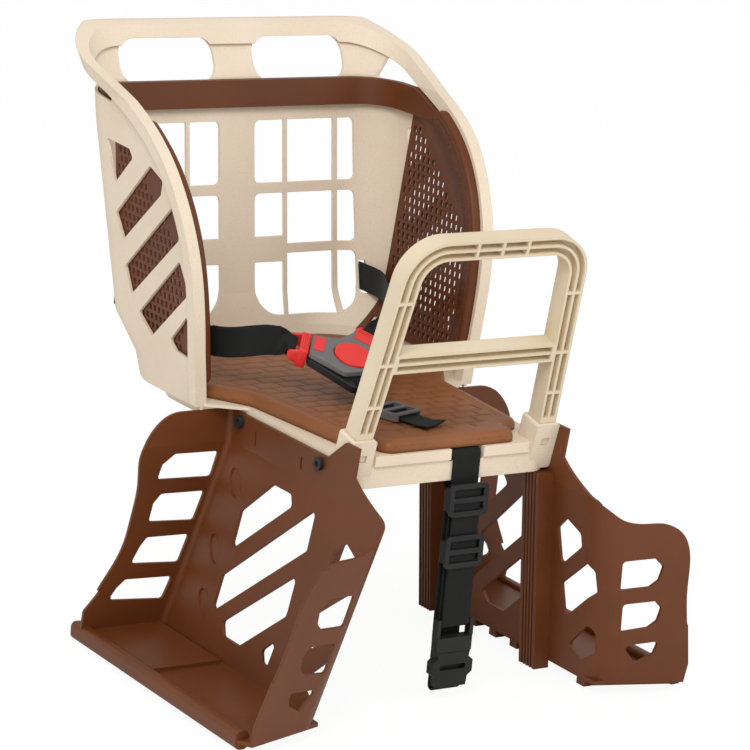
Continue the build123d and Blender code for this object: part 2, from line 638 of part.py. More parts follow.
with BuildPart() as footrest_bolts:
    with BuildSketch(Plane.YZ.offset(rest_wall_x + rest_t)):
        with Locations(*[(y, bolt_z) for y in bolt_y]):
            Circle(bolt_head_r)
    extrude(amount=bolt_head_t)
    with BuildSketch(Plane.YZ.offset(rest_wall_x + rest_t + bolt_head_t)):
        with Locations(*[(y, bolt_z) for y in bolt_y]):
            RegularPolygon(bolt_r, 6)
    extrude(amount=-bolt_head_t / 2, mode=Mode.SUBTRACT)
    with BuildSketch(Plane.YZ.offset(rest_wall_x + rest_t)):
        with Locations(*[(y, bolt_z) for y in bolt_y]):
            Circle(bolt_r)
    extrude(amount=bolt_tip - rest_wall_x - rest_t)
    mirror(about=Plane.YZ)

footrest_bolts.part.label = "footrest_bolts"
export_step(footrest_bolts.part, "parts/footrest_bolts.step")

with BuildPart() as footrest_nuts:
    with BuildSketch(Plane.YZ.offset(pan_half - wall)):
        with Locations(*[(y, bolt_z) for y in bolt_y]):
            RegularPolygon(nut_r, 6)
            Circle(bolt_r + 0.05, mode=Mode.SUBTRACT)
    extrude(amount=-nut_t)
    mirror(about=Plane.YZ)

footrest_nuts.part.label = "footrest_nuts"
export_step(footrest_nuts.part, "parts/footrest_nuts.step")

# Harness buckle: a forked body that takes one tongue on each arm
buckle_tilt = 22.0
buckle_plane = Plane(origin=(-26, -10, 78), x_dir=(1, 0, 0),
                     z_dir=Vector(0, 0, 1).rotate(Axis.X, buckle_tilt))
arm_turn = 35.0
arm_plane = buckle_plane.rotated((0, 0, arm_turn))
other_arm_plane = buckle_plane.rotated((0, 0, -arm_turn))
arm_end = 39.2
buckle_down = -40.0
buckle_outline = ((24, 34), (42, 8), (17, buckle_down), (-17, buckle_down), (-42, 8), (-24, 34), (0, 25))
cover_outline = ((24, 34), (42, 8), (20, buckle_down + 14), (-20, buckle_down + 14), (-42, 8), (-24, 34), (0, 25))
base_t = 8.0
cover_t = 7.0
split_gap = 0.3
button_r = 19.0
button_centre = -3.0
button_gap = 0.5
button_proud = 2.0
button_travel = 3.0
prong_t = 2.0
prong_half = 10.0
prong_length = 15.0
arm_window = (7.0, 17.0)
arm_window_at = 29.5
tongue_w = 18.0
tongue_h = 33.0
tongue_t = 9.0
tongue_slot = 4.0

with BuildPart() as buckle_base:
    with BuildSketch(buckle_plane) as outline:
        Polygon(*buckle_outline, align=None)
        fillet(outline.vertices(), 6)
    extrude(amount=-base_t)
    fillet(buckle_base.faces().sort_by(Axis.Z)[0].edges(), 1.5)
    # Channels for the two prongs and the well under the button
    with BuildSketch(arm_plane):
        with Locations((arm_end, 0)):
            Rectangle(2 * (prong_length + button_gap), 2 * (prong_half + button_gap))
    extrude(amount=-prong_t - 2 * split_gap, mode=Mode.SUBTRACT)
    with BuildSketch(other_arm_plane):
        with Locations((-arm_end, 0)):
            Rectangle(2 * (prong_length + button_gap), 2 * (prong_half + button_gap))
    extrude(amount=-prong_t - 2 * split_gap, mode=Mode.SUBTRACT)
    with BuildSketch(buckle_plane):
        with Locations((0, button_centre)):
            Circle(button_r - 4)
    extrude(amount=-5.5, mode=Mode.SUBTRACT)
    # Slot for the crotch strap
    with BuildSketch(buckle_plane):
        with Locations((0, buckle_down + 7)):
            Rectangle(26, 3.6)
    extrude(amount=-20, mode=Mode.SUBTRACT)

buckle_base.part.label = "buckle_base"
export_step(buckle_base.part, "parts/buckle_base.step")

with BuildPart() as buckle_cover:
    with BuildSketch(buckle_plane.offset(split_gap)) as outline:
        Polygon(*cover_outline, align=None)
        fillet(outline.vertices(), 6)
    extrude(amount=cover_t)
    fillet(buckle_cover.faces().sort_by(Axis.Z)[-1].edges(), 2)
    with BuildSketch(buckle_plane):
        with Locations((0, button_centre)):
            Circle(button_r)
    extrude(amount=20, mode=Mode.SUBTRACT)
    # Windows over the tongues
    with BuildSketch(arm_plane):
        with Locations((arm_window_at, 0)):
            RectangleRounded(arm_window[0], arm_window[1], 2)
    extrude(amount=20, mode=Mode.SUBTRACT)
    with BuildSketch(other_arm_plane):
        with Locations((-arm_window_at, 0)):
            RectangleRounded(arm_window[0], arm_window[1], 2)
    extrude(amount=20, mode=Mode.SUBTRACT)

buckle_cover.part.label = "buckle_cover"
export_step(buckle_cover.part, "parts/buckle_cover.step")

with BuildPart() as press_button:
    with BuildSketch(buckle_plane.offset(split_gap + button_travel + 0.4)):
        with Locations((0, button_centre)):
            Circle(button_r - button_gap)
    extrude(amount=cover_t + button_proud - button_travel - 0.4)
    fillet(press_button.edges().group_by(Axis.Z)[-1], 1.2)

press_button.part.label = "press_button"
export_step(press_button.part, "parts/press_button.step")

with BuildPart() as tongue_left:
    with BuildSketch(arm_plane.offset(-tongue_t / 2)) as handle:
        with Locations((arm_end + free_gap + tongue_w / 2, 0)):
            RectangleRounded(tongue_w, tongue_h, 5)
    extrude(amount=tongue_t)
    with BuildSketch(arm_plane.offset(-20)):
        with Locations((arm_end + free_gap + tongue_w - 6, 0)):
            Rectangle(tongue_slot, tongue_h - 6)
    extrude(amount=40, mode=Mode.SUBTRACT)
    # Finger grooves across the handle
    with BuildSketch(arm_plane.offset(tongue_t / 2 - 1)):
        with Locations((arm_end + free_gap + 5, 0)):
            with GridLocations(4, 0, 2, 1):
                Rectangle(1.6, tongue_h)
    extrude(amount=5, mode=Mode.SUBTRACT)
    with BuildSketch(arm_plane.offset(-prong_t - split_gap)):
        with Locations((arm_end - prong_length / 2 + 1, 0)):
            Rectangle(prong_length + 2, 2 * prong_half)
    extrude(amount=prong_t)

tongue_left.part.label = "tongue_left"
export_step(tongue_left.part, "parts/tongue_left.step")

with BuildPart() as tongue_right:
    mirror(tongue_left.part, about=Plane.YZ.offset(buckle_plane.origin.X))

tongue_right.part.label = "tongue_right"
export_step(tongue_right.part, "parts/tongue_right.step")

# Harness webbing
strap_w = 28.0
strap_t = 1.6
strap_z = strap_slot_z - strap_w / 2
lap_end = 250.0
lap_straight = 130.0
lap_start = arm_plane.from_local_coords(Vector(arm_end + free_gap + tongue_w + 1.4, 0, 0))
lap_start_x = lap_start.X - buckle_plane.origin.X

with BuildPart() as lap_strap_left:
    with BuildSketch(Plane.XY.offset(strap_z)):
        with BuildLine():
            Spline((lap_start.X, lap_start.Y), (62, 62), (118, 150), (strap_slot_x, 208), (strap_slot_x, lap_end),
                   tangents=((0.82, 0.57), (0, 1)))
        trace(line_width=strap_t)
    extrude(amount=strap_w)

lap_strap_left.part.label = "lap_strap_left"
export_step(lap_strap_left.part, "parts/lap_strap_left.step")

with BuildPart() as lap_strap_right:
    with BuildSketch(Plane.XY.offset(strap_z)):
        with BuildLine():
            Spline((buckle_plane.origin.X - lap_start_x, lap_start.Y), (-108, 38), (-132, 72),
                   (-strap_slot_x, lap_straight), tangents=((-0.82, 0.57), (0, 1)))
            Line((-strap_slot_x, lap_straight), (-strap_slot_x, lap_end))
        trace(line_width=strap_t)
    extrude(amount=strap_w)

lap_strap_right.part.label = "lap_strap_right"
export_step(lap_strap_right.part, "parts/lap_strap_right.step")

pad_top = pad_bottom + pad_t
crotch_turn = 16.0
crotch_tip = buckle_plane.from_local_coords(Vector(0, buckle_down, -base_t))
crotch_run = Vector(0, -1, 0).rotate(Axis.Z, crotch_turn)
crotch_plane = Plane(origin=(crotch_tip.X, crotch_tip.Y, pad_top), x_dir=crotch_run,
                     z_dir=crotch_run.cross(Vector(0, 0, 1)))
crotch_length = 84.0
slider_at = 34.0

with BuildPart() as crotch_strap:
    with BuildSketch(crotch_plane):
        with BuildLine():
            Spline((2, crotch_tip.Z - pad_top - 1.6), (13, 5.2), (slider_at, 3.6), (crotch_length - 16, 1.6),
                   (crotch_length, 3.0))
        trace(line_width=strap_t)
    extrude(amount=strap_w / 2, both=True)

crotch_strap.part.label = "crotch_strap"
export_step(crotch_strap.part, "parts/crotch_strap.step")

slider_frame = 4.5
slider_t = 7.0
slider_l = 36.0
slider_plane = Plane(origin=crotch_plane.from_local_coords(Vector(slider_at, 0, 0)),
                     x_dir=crotch_run.cross(Vector(0, 0, 1)), z_dir=(0, 0, 1))

with BuildPart() as crotch_slider:
    with BuildSketch(slider_plane.offset(0.4)):
        RectangleRounded(strap_w + 2 * slider_frame + 1.4, slider_l, 5)
    extrude(amount=slider_t)
    # Way through for the strap, and the two open sides of the crossbar
    with BuildSketch(slider_plane.offset(0.9)):
        Rectangle(strap_w + 1.4, 3 * slider_l)
    extrude(amount=4.8, mode=Mode.SUBTRACT)
    with BuildSketch(slider_plane.offset(5.0)):
        with GridLocations(0, slider_l / 2 - 2.5, 1, 2):
            Rectangle(strap_w + 1.4, slider_l / 2 - 7)
    extrude(amount=10, mode=Mode.SUBTRACT)

crotch_slider.part.label = "crotch_slider"
export_step(crotch_slider.part, "parts/crotch_slider.step")

# Front belt with its sliders and closed buckle
belt_face = pan_front - 0.6 - belt_t / 2
belt_loop = 3.2
belt_loop_z = -136.0
belt_tail_z = -6.0
belt_deck = deck_top - wall + 0.3 + belt_t / 2

with BuildPart() as front_belt:
    with BuildSketch(Plane.YZ.offset(belt_x)):
        with BuildLine() as run:
            top_run = Line((pan_front + 28, belt_deck), (pan_front + 3, belt_deck))
            corner = TangentArc((pan_front + 3, belt_deck), (belt_face, belt_deck - 4.4), tangent=(-1, 0))
            drop = Line((belt_face, belt_deck - 4.4), (belt_face, belt_loop_z))
            turn = TangentArc((belt_face, belt_loop_z), (belt_face - 2 * belt_loop, belt_loop_z), tangent=(0, -1))
            rise = Line((belt_face - 2 * belt_loop, belt_loop_z), (belt_face - 2 * belt_loop, belt_tail_z))
        trace(line_width=belt_t)
    extrude(amount=belt_w / 2, both=True)

front_belt.part.label = "front_belt"
export_step(front_belt.part, "parts/front_belt.step")

keeper_w = 42.0
keeper_h = 31.0
keeper_wall = 2.2
keeper_z = (-17.0, -66.0)

for index, name in enumerate(("belt_slider_upper", "belt_slider_lower")):
    with BuildPart() as keeper:
        with BuildSketch(Plane.XZ.offset(-belt_face + 2 * belt_loop + belt_t / 2 + 0.4 + keeper_wall)):
            with Locations((belt_x, keeper_z[index])):
                RectangleRounded(keeper_w, keeper_h, 5)
        extrude(amount=-keeper_wall)
        with BuildSketch(Plane.XZ.offset(-belt_face + 2 * belt_loop + belt_t / 2 + 0.4)):
            with Locations((belt_x, keeper_z[index])):
                with GridLocations(keeper_w - 4, 0, 2, 1):
                    Rectangle(4, keeper_h - 10)
        extrude(amount=-2 * belt_loop - 0.8)
        with BuildSketch(Plane.XZ):
            with Locations((belt_x, keeper_z[index])):
                with GridLocations(0, 13, 1, 2):
                    Rectangle(belt_w + 2, 8)
        extrude(amount=300, mode=Mode.SUBTRACT)
        with BuildSketch(Plane.XZ.offset(-belt_face + belt_loop - 1.2)):
            with Locations((belt_x, keeper_z[index])):
                Rectangle(keeper_w, 5)
        extrude(amount=2.4)
    keeper.part.label = name
    export_step(keeper.part, "parts/" + name + ".step")

clip_y = belt_face - belt_loop
clip_t = 11.0
plug_z = (-163.0, -141.0)
plug_half = 20.0
socket_z = (-197.0, -163.5)
socket_half = 22.0
clip_bar_r = 1.6

with BuildPart() as belt_buckle_plug:
    with BuildSketch(Plane.XY.offset(plug_z[0])):
        with Locations((belt_x, clip_y)):
            RectangleRounded(2 * plug_half, clip_t, 3)
    extrude(amount=14)
    with BuildSketch(Plane.XY.offset(plug_z[0] + 14)):
        with Locations((belt_x, clip_y)):
            with GridLocations(2 * plug_half - 4, 0, 2, 1):
                Rectangle(4, clip_t - 3)
    extrude(amount=belt_loop_z + 4 - plug_z[0] - 14)
    with BuildSketch(Plane.YZ.offset(belt_x)):
        with Locations((clip_y, belt_loop_z)):
            Circle(clip_bar_r)
    extrude(amount=plug_half - 2, both=True)

belt_buckle_plug.part.label = "belt_buckle_plug"
export_step(belt_buckle_plug.part, "parts/belt_buckle_plug.step")

with BuildPart() as belt_buckle_socket:
    with BuildSketch(Plane.XZ.offset(-clip_y)) as socket_face:
        with Locations((belt_x, 0)):
            Polygon((-socket_half + 4, socket_z[1]), (socket_half - 4, socket_z[1]), (socket_half - 5, -169),
                    (socket_half, -173), (socket_half, -184), (socket_half - 5, -188),
                    (socket_half - 6, socket_z[0]), (-socket_half + 6, socket_z[0]), (-socket_half + 5, -188),
                    (-socket_half, -184), (-socket_half, -173), (-socket_half + 5, -169), align=None)
    extrude(amount=clip_t / 2 - 0.5, both=True)
    with BuildSketch(Plane.XZ.offset(-clip_y)):
        with Locations((belt_x, -178)):
            Rectangle(2 * socket_half - 16, 5)
    extrude(amount=20, mode=Mode.SUBTRACT)
    with BuildSketch(Plane.XY.offset(-250)):
        with Locations((belt_x, clip_y + 2.4)):
            Rectangle(belt_w + 1, 2.8)
    extrude(amount=66, mode=Mode.SUBTRACT)

belt_buckle_socket.part.label = "belt_buckle_socket"
export_step(belt_buckle_socket.part, "parts/belt_buckle_socket.step")

return_top = -4.0

with BuildPart() as front_belt_return:
    with BuildSketch(Plane.YZ.offset(belt_x)):
        with BuildLine():
            first = Line((clip_y + 2.4, -185), (clip_y + 2.4, -198))
            turn = TangentArc((clip_y + 2.4, -198), (pan_front + 6, -198), tangent=(0, -1))
            climb = Line((pan_front + 6, -198), (pan_front + 6, -14))
            bend = TangentArc((pan_front + 6, -14), (pan_front + 16, return_top), tangent=(0, 1))
            under = Line((pan_front + 16, return_top), (pan_front + 60, return_top))
        trace(line_width=belt_t)
    extrude(amount=belt_w / 2, both=True)

front_belt_return.part.label = "front_belt_return"
export_step(front_belt_return.part, "parts/front_belt_return.step")
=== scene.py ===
import bmesh
import bpy
import math
import numpy as np
from mathutils import Matrix, Vector, noise


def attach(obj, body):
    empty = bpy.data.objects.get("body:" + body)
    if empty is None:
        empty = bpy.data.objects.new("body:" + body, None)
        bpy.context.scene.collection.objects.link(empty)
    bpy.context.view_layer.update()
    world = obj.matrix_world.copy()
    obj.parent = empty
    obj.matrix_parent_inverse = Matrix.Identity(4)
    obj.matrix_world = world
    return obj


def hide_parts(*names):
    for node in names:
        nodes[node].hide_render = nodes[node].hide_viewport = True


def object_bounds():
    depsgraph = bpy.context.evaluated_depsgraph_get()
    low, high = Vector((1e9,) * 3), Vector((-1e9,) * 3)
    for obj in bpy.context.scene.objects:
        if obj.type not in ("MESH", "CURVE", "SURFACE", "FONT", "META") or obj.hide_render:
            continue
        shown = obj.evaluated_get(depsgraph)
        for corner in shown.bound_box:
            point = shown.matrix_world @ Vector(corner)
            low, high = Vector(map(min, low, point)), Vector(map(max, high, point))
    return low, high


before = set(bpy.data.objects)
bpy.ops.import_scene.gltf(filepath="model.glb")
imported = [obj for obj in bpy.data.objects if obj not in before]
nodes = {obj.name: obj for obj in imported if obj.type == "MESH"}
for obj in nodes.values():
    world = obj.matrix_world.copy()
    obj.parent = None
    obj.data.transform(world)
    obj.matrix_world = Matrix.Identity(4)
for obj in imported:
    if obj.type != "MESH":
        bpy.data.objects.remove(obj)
cad_lo, cad_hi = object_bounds()
scene = bpy.context.scene
# Sizes below are in millimetres unless a comment says otherwise
MM = 0.001


# Material helpers
def new_material(name):
    mat = bpy.data.materials.new(name)
    mat.use_nodes = True
    tree = mat.node_tree
    return mat, tree, tree.nodes["Principled BSDF"]


def node(tree, kind, **sockets):
    n = tree.nodes.new(kind)
    for key, value in sockets.items():
        n.inputs[key.replace("_", " ")].default_value = value
    return n


def math_node(tree, operation, first, second):
    n = tree.nodes.new("ShaderNodeMath")
    n.operation = operation
    for socket, value in zip(n.inputs, (first, second)):
        if isinstance(value, (int, float)):
            socket.default_value = value
        else:
            tree.links.new(value, socket)
    return n.outputs[0]


def ramp(tree, factor, *stops):
    n = tree.nodes.new("ShaderNodeValToRGB")
    elements = n.color_ramp.elements
    while len(elements) < len(stops):
        elements.new(0.5)
    for element, (place, colour) in zip(elements, stops):
        element.position = place
        element.color = (*colour, 1)
    tree.links.new(factor, n.inputs["Fac"])
    return n.outputs["Color"]


def mix_in(tree, factor, colour, other):
    """A linked colour with a fixed one mixed in."""
    n = tree.nodes.new("ShaderNodeMix")
    n.data_type = "RGBA"
    tree.links.new(factor, n.inputs["Factor"])
    tree.links.new(colour, n.inputs["A"])
    n.inputs["B"].default_value = (*other, 1)
    return n.outputs["Result"]


def moulded(name, colour, shade, rough, grain=700.0, bump=0.15, fleck=None, metallic=0.0, shine=0.3,
            painted_shade=None):
    """Moulded plastic: slow colour drift, fine surface grain, softened edges, flecks if any, and painted
    shade where a named mesh attribute is high, if any.
    """
    drift_scale, fleck_scale = 11.0, 950.0
    edge_radius = 0.8 * MM
    grain_depth = 0.4 * MM
    painted_shade_darkness = 0.42
    mat, tree, bsdf = new_material(name)
    where = tree.nodes.new("ShaderNodeTexCoord").outputs["Object"]
    fine = node(tree, "ShaderNodeTexNoise", Scale=grain, Detail=4.0)
    broad = node(tree, "ShaderNodeTexNoise", Scale=drift_scale, Detail=3.0)
    for n in (fine, broad):
        tree.links.new(where, n.inputs["Vector"])
    colour_out = ramp(tree, broad.outputs["Fac"], (0.32, shade), (0.68, colour))
    if fleck:
        spots = node(tree, "ShaderNodeTexNoise", Scale=fleck_scale, Detail=2.0)
        tree.links.new(where, spots.inputs["Vector"])
        amount = ramp(tree, spots.outputs["Fac"], (0.56, (0, 0, 0)), (0.70, (0.30, 0.30, 0.30)))
        colour_out = mix_in(tree, amount, colour_out, fleck)
    # Painted shade: the colour darkens towards a darker copy of the tone where the named mesh attribute is
    # high, such as the pad's grooves
    if painted_shade:
        painted_shade_node = tree.nodes.new("ShaderNodeAttribute")
        painted_shade_node.attribute_name = painted_shade
        colour_out = mix_in(tree, painted_shade_node.outputs["Fac"], colour_out, [painted_shade_darkness * c for c in shade])
    tree.links.new(colour_out, bsdf.inputs["Base Color"])
    gloss = node(tree, "ShaderNodeMapRange", To_Min=rough - 0.07, To_Max=rough + 0.09)
    tree.links.new(broad.outputs["Fac"], gloss.inputs["Value"])
    tree.links.new(gloss.outputs["Result"], bsdf.inputs["Roughness"])
    soft = node(tree, "ShaderNodeBevel", Radius=edge_radius)
    soft.samples = 4
    relief = node(tree, "ShaderNodeBump", Strength=bump, Distance=grain_depth)
    tree.links.new(fine.outputs["Fac"], relief.inputs["Height"])
    tree.links.new(soft.outputs["Normal"], relief.inputs["Normal"])
    tree.links.new(relief.outputs["Normal"], bsdf.inputs["Normal"])
    bsdf.inputs["Metallic"].default_value = metallic
    bsdf.inputs["Specular IOR Level"].default_value = shine
    return mat


def woven(name):
    """Black polyester webbing: plain weave across and along, from each strap's own length and width, with
    painted shade where the weave is low.
    """
    pitch_across, pitch_along = 2.1 * MM, 1.7 * MM
    thread_depth = 0.4 * MM
    mat, tree, bsdf = new_material(name)
    place = tree.nodes.new("ShaderNodeAttribute")
    place.attribute_name = "weave"
    split = tree.nodes.new("ShaderNodeSeparateXYZ")
    tree.links.new(place.outputs["Vector"], split.inputs["Vector"])
    waves = []
    for axis, pitch in (("X", pitch_across), ("Y", pitch_along)):
        turns = math_node(tree, "MULTIPLY", split.outputs[axis], 2 * math.pi / pitch)
        waves.append(math_node(tree, "SINE", turns, 0.0))
    lift = math_node(tree, "MULTIPLY_ADD", math_node(tree, "MULTIPLY", *waves), 0.5)
    lift.node.inputs[2].default_value = 0.5
    where = tree.nodes.new("ShaderNodeTexCoord").outputs["Object"]
    fuzz = node(tree, "ShaderNodeTexNoise", Scale=1700.0, Detail=3.0)
    tree.links.new(where, fuzz.inputs["Vector"])
    mixed = math_node(tree, "MULTIPLY_ADD", lift, 0.6)
    tree.links.new(math_node(tree, "MULTIPLY", fuzz.outputs["Fac"], 0.4), mixed.node.inputs[2])
    # Painted shade: the black is darker where the weave is low, and random fuzz varies the tone too
    weave_colour_with_shade = ramp(tree, mixed, (0.15, (0.003, 0.003, 0.003)), (0.85, (0.017, 0.018, 0.017)))
    tree.links.new(weave_colour_with_shade, bsdf.inputs["Base Color"])
    bsdf.inputs["Roughness"].default_value = 0.72
    bsdf.inputs["Specular IOR Level"].default_value = 0.2
    bsdf.inputs["Sheen Weight"].default_value = 0.03
    relief = node(tree, "ShaderNodeBump", Strength=0.6, Distance=thread_depth)
    tree.links.new(mixed, relief.inputs["Height"])
    tree.links.new(relief.outputs["Normal"], bsdf.inputs["Normal"])
    return mat


# Materials, and the CAD nodes that keep their shape
beige = moulded("beige_speckled", (0.825, 0.70, 0.55), (0.775, 0.645, 0.49), 0.5, 900.0, 0.2,
                fleck=(0.50, 0.33, 0.19))
cream = moulded("cream_satin", (0.765, 0.645, 0.465), (0.705, 0.58, 0.395), 0.45, 600.0, 0.1)
brown = moulded("brown_satin", (0.158, 0.045, 0.0115), (0.128, 0.035, 0.008), 0.42, 700.0, 0.2)
liner_brown = moulded("brown_liner", (0.136, 0.037, 0.009), (0.110, 0.029, 0.0065), 0.44, 700.0, 0.2)
dark = moulded("dark_plastic", (0.017, 0.018, 0.017), (0.010, 0.010, 0.010), 0.42)
grey = moulded("grey_plastic", (0.17, 0.162, 0.16), (0.14, 0.133, 0.131), 0.42)
red = moulded("red_gloss", (0.80, 0.034, 0.028), (0.72, 0.026, 0.021), 0.32, 400.0, 0.05, shine=0.4)
black_steel = moulded("black_steel", (0.03, 0.03, 0.03), (0.016, 0.016, 0.016), 0.35)
zinc = moulded("zinc_steel", (0.55, 0.55, 0.56), (0.45, 0.45, 0.46), 0.35, metallic=1.0)
# The pad's grooves get painted shade from the point attribute that seat_pad stores
pad_mat = moulded("pad_brown", (0.285, 0.105, 0.036), (0.23, 0.080, 0.026), 0.45, 420.0, 0.3, painted_shade="painted_groove_shade")
web = woven("webbing_black")

looks = {
    "seat_shell": beige, "grab_bar": cream,
    "footrest_left": brown, "footrest_right": brown, "footrest_bolts": black_steel, "footrest_nuts": zinc,
    "buckle_base": dark, "buckle_cover": grey, "press_button": red,
    "crotch_slider": grey, "belt_slider_upper": dark, "belt_slider_lower": dark,
    "belt_buckle_plug": dark, "belt_buckle_socket": dark,
}
for name, mat in looks.items():
    obj = nodes[name]
    obj.data.materials.clear()
    obj.data.materials.append(mat)


# Helpers for the pieces made here
def add_piece(name, mesh, mat, cad_node=None, sharp=None):
    """A smooth-shaded object that moves with the seat, and stands for a CAD node where one is named."""
    mesh.materials.clear()
    mesh.materials.append(mat)
    mesh.polygons.foreach_set("use_smooth", [True] * len(mesh.polygons))
    if sharp:
        mesh.set_sharp_from_angle(angle=math.radians(sharp))
    obj = bpy.data.objects.new(name, mesh)
    scene.collection.objects.link(obj)
    if cad_node:
        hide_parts(cad_node)
    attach(obj, "seat")
    return obj


def mesh_of(name, verts, faces):
    mesh = bpy.data.meshes.new(name)
    mesh.from_pydata(verts, [], faces)
    mesh.validate()
    return mesh


def smooth(start, end, at):
    """0 before start, 1 after end, and an even step between them."""
    t = np.clip((at - start) / (end - start), 0, 1)
    return t * t * (3 - 2 * t)


def unit(vectors):
    return vectors / np.linalg.norm(vectors, axis=1)[:, None]


def distance_along(line):
    return np.concatenate([[0], np.cumsum(np.linalg.norm(np.diff(line, axis=0), axis=1))])


def curve_through(points, start, end, step=1.6):
    """Points at an even step along the smooth curve through the given ones, with its two end directions."""
    p = np.array(points, float)
    gap = np.linalg.norm(np.diff(p, axis=0), axis=1)
    count = len(p)
    system, target = np.zeros((count, count)), np.zeros((count, 3))
    system[0, 0] = system[-1, -1] = 1
    target[0], target[-1] = Vector(start).normalized(), Vector(end).normalized()
    for i in range(1, count - 1):
        before, after = gap[i - 1], gap[i]
        system[i, i - 1:i + 2] = after, 2 * (before + after), before
        target[i] = 3 * (after * (p[i] - p[i - 1]) / before + before * (p[i + 1] - p[i]) / after)
    slope = np.linalg.solve(system, target)
    out = []
    for i in range(count - 1):
        pieces = max(2, int(gap[i] / step))
        for t in np.arange(pieces) / pieces:
            a, b = (1 + 2 * t) * (1 - t) ** 2, t * (1 - t) ** 2
            c, d = t * t * (3 - 2 * t), t * t * (t - 1)
            out.append(a * p[i] + b * gap[i] * slope[i] + c * p[i + 1] + d * gap[i] * slope[i + 1])
    out.append(p[-1])
    return np.array(out)


# Side liner: the CAD liner with its coarse slots closed, then pierced with the full pattern
slot_y, slot_z, slot_step = 86.0, 60.0, (14.0, 12.0)
slot_columns, slot_rows, first_column = 8, 17, 112.0
slot_reach = (2.1, 3.6)
panel_x = 110.0
slots = np.array([(slot_y + slot_step[0] * (i + 0.5 * (j % 2)), slot_z + slot_step[1] * j)
                  for i in range(slot_columns) for j in range(slot_rows)
                  if slot_step[1] * j < first_column + slot_step[1] * i])
hole_w, hole_h, hole_pitch, hole_rise, hole_lean = 4.4, 5.6, 8.3, 8.8, 2.2
zone_y, zone_z = (82.0, 199.0), (56.0, 256.0)
zone_top, zone_slope = 166.0, 0.857
# Length of a cutter across both panels, in metres
cutter_length = 0.5


def closed_liner():
    bm = bmesh.new()
    bm.from_mesh(nodes["side_liner"].data)
    bmesh.ops.remove_doubles(bm, verts=bm.verts, dist=1e-6)
    walls = []
    for face in bm.faces:
        x, y, z = (c / MM for c in face.calc_center_median())
        off = np.abs(slots - (y, z))
        if abs(x) > panel_x and abs(face.normal.x) < 0.5 and (off < slot_reach).all(axis=1).any():
            walls.append(face)
    bmesh.ops.delete(bm, geom=walls, context="FACES")
    bmesh.ops.holes_fill(bm, edges=[e for e in bm.edges if e.is_boundary], sides=0)
    bmesh.ops.triangulate(bm, faces=bm.faces)
    mesh = bpy.data.meshes.new("side_liner_form")
    bm.to_mesh(mesh)
    bm.free()
    return mesh


def hole_cutters():
    """One bar for each pair of holes, in rows that lean forwards, under the sloping top of the panels."""
    bm = bmesh.new()
    bar = Matrix.Diagonal((cutter_length, hole_w * MM, hole_h * MM, 1))
    for j in range(40):
        z = zone_z[0] + hole_rise * j
        for i in range(-4, 20):
            y = zone_y[0] + hole_pitch * i + (hole_lean * j) % hole_pitch
            if zone_y[0] <= y <= zone_y[1] and z <= zone_z[1] and z < zone_top + zone_slope * (y - slot_y):
                bmesh.ops.create_cube(bm, size=1, matrix=Matrix.Translation((0, y * MM, z * MM)) @ bar)
    mesh = bpy.data.meshes.new("liner_cutters")
    bm.to_mesh(mesh)
    bm.free()
    return mesh


def pierced_liner():
    blank = bpy.data.objects.new("liner_blank", closed_liner())
    cutters = bpy.data.objects.new("liner_cutters", hole_cutters())
    scene.collection.objects.link(blank)
    scene.collection.objects.link(cutters)
    cut = blank.modifiers.new("holes", "BOOLEAN")
    cut.operation = "DIFFERENCE"
    cut.solver = "MANIFOLD"
    cut.object = cutters
    mesh = bpy.data.meshes.new_from_object(blank.evaluated_get(bpy.context.evaluated_depsgraph_get()))
    bpy.data.objects.remove(blank)
    bpy.data.objects.remove(cutters)
    return mesh


add_piece("side_liner_form", pierced_liner(), liner_brown, "side_liner", sharp=32)

# Seat pad: moulded foam with rolled edges, a double welt along the sides and pillowed bricks, with painted
# shade in the grooves between them
pad_front, pad_rear, pad_bottom, pad_top = -149.0, 217.0, 30.3, 42.1
pad_side = ((-149.0, 72.0), (-122.0, 75.0), (-114.0, 97.0), (24.0, 109.0), (66.0, 136.0), (217.0, 136.0))
front_corner, rear_corner = 10.0, 76.0
front_flat, rear_flat = 62.0, 60.0
pad_ease = 0.5
roll_radius, roll_drop = 7.0, 7.5
crown, crown_reach = 0.9, 12.0
welts, welt_depth, welt_width, welt_start = (12.5, 16.5), 0.9, 0.9, 40.0
brick_x, brick_y = 26.0, 17.0
# groove_shade sets how dark the painted shade in the grooves between the bricks is
groove_depth, groove_edge, groove_full, groove_shade = 1.2, 18.5, 22.0, 0.5
unevenness, uneven_length = 0.25, 38.0
edge_steps = np.array((0.0, 0.35, 0.9, 1.7, 2.7, 4.0, 5.6, 7.6))
row_step, first_row, last_row = 1.9, 9.4, 8.6
pad_columns, full_edge_half = 141, 30.0


def pad_half(y):
    """Half width of the pad at y, with its side line softened and its corners rounded."""
    spread = [np.interp(y + k, *zip(*pad_side)) for k in (-4, -2, 0, 2, 4)]
    half = sum(spread) / 5 - pad_ease
    for radius, inset in ((front_corner, y - pad_front), (rear_corner, pad_rear - y)):
        into = radius - inset
        if into > 0:
            half -= radius - math.sqrt(max(radius**2 - into**2, 0))
    return half


def pad_rim():
    """Points all round the pad's outline, close together on the corners too."""
    arc = 1 - np.cos(np.linspace(0, math.pi / 2, 160))
    rows = np.concatenate([np.linspace(pad_front, pad_rear, 900), pad_front + front_corner * arc,
                           pad_rear - rear_corner * arc])
    side = np.array([(pad_half(y), y) for y in rows])
    front = [(x, pad_front) for x in np.linspace(-front_flat, front_flat, 90)]
    rear = [(x, pad_rear) for x in np.linspace(-rear_flat, rear_flat, 90)]
    return np.concatenate([side, side * (-1, 1), front, rear])


rim = pad_rim()


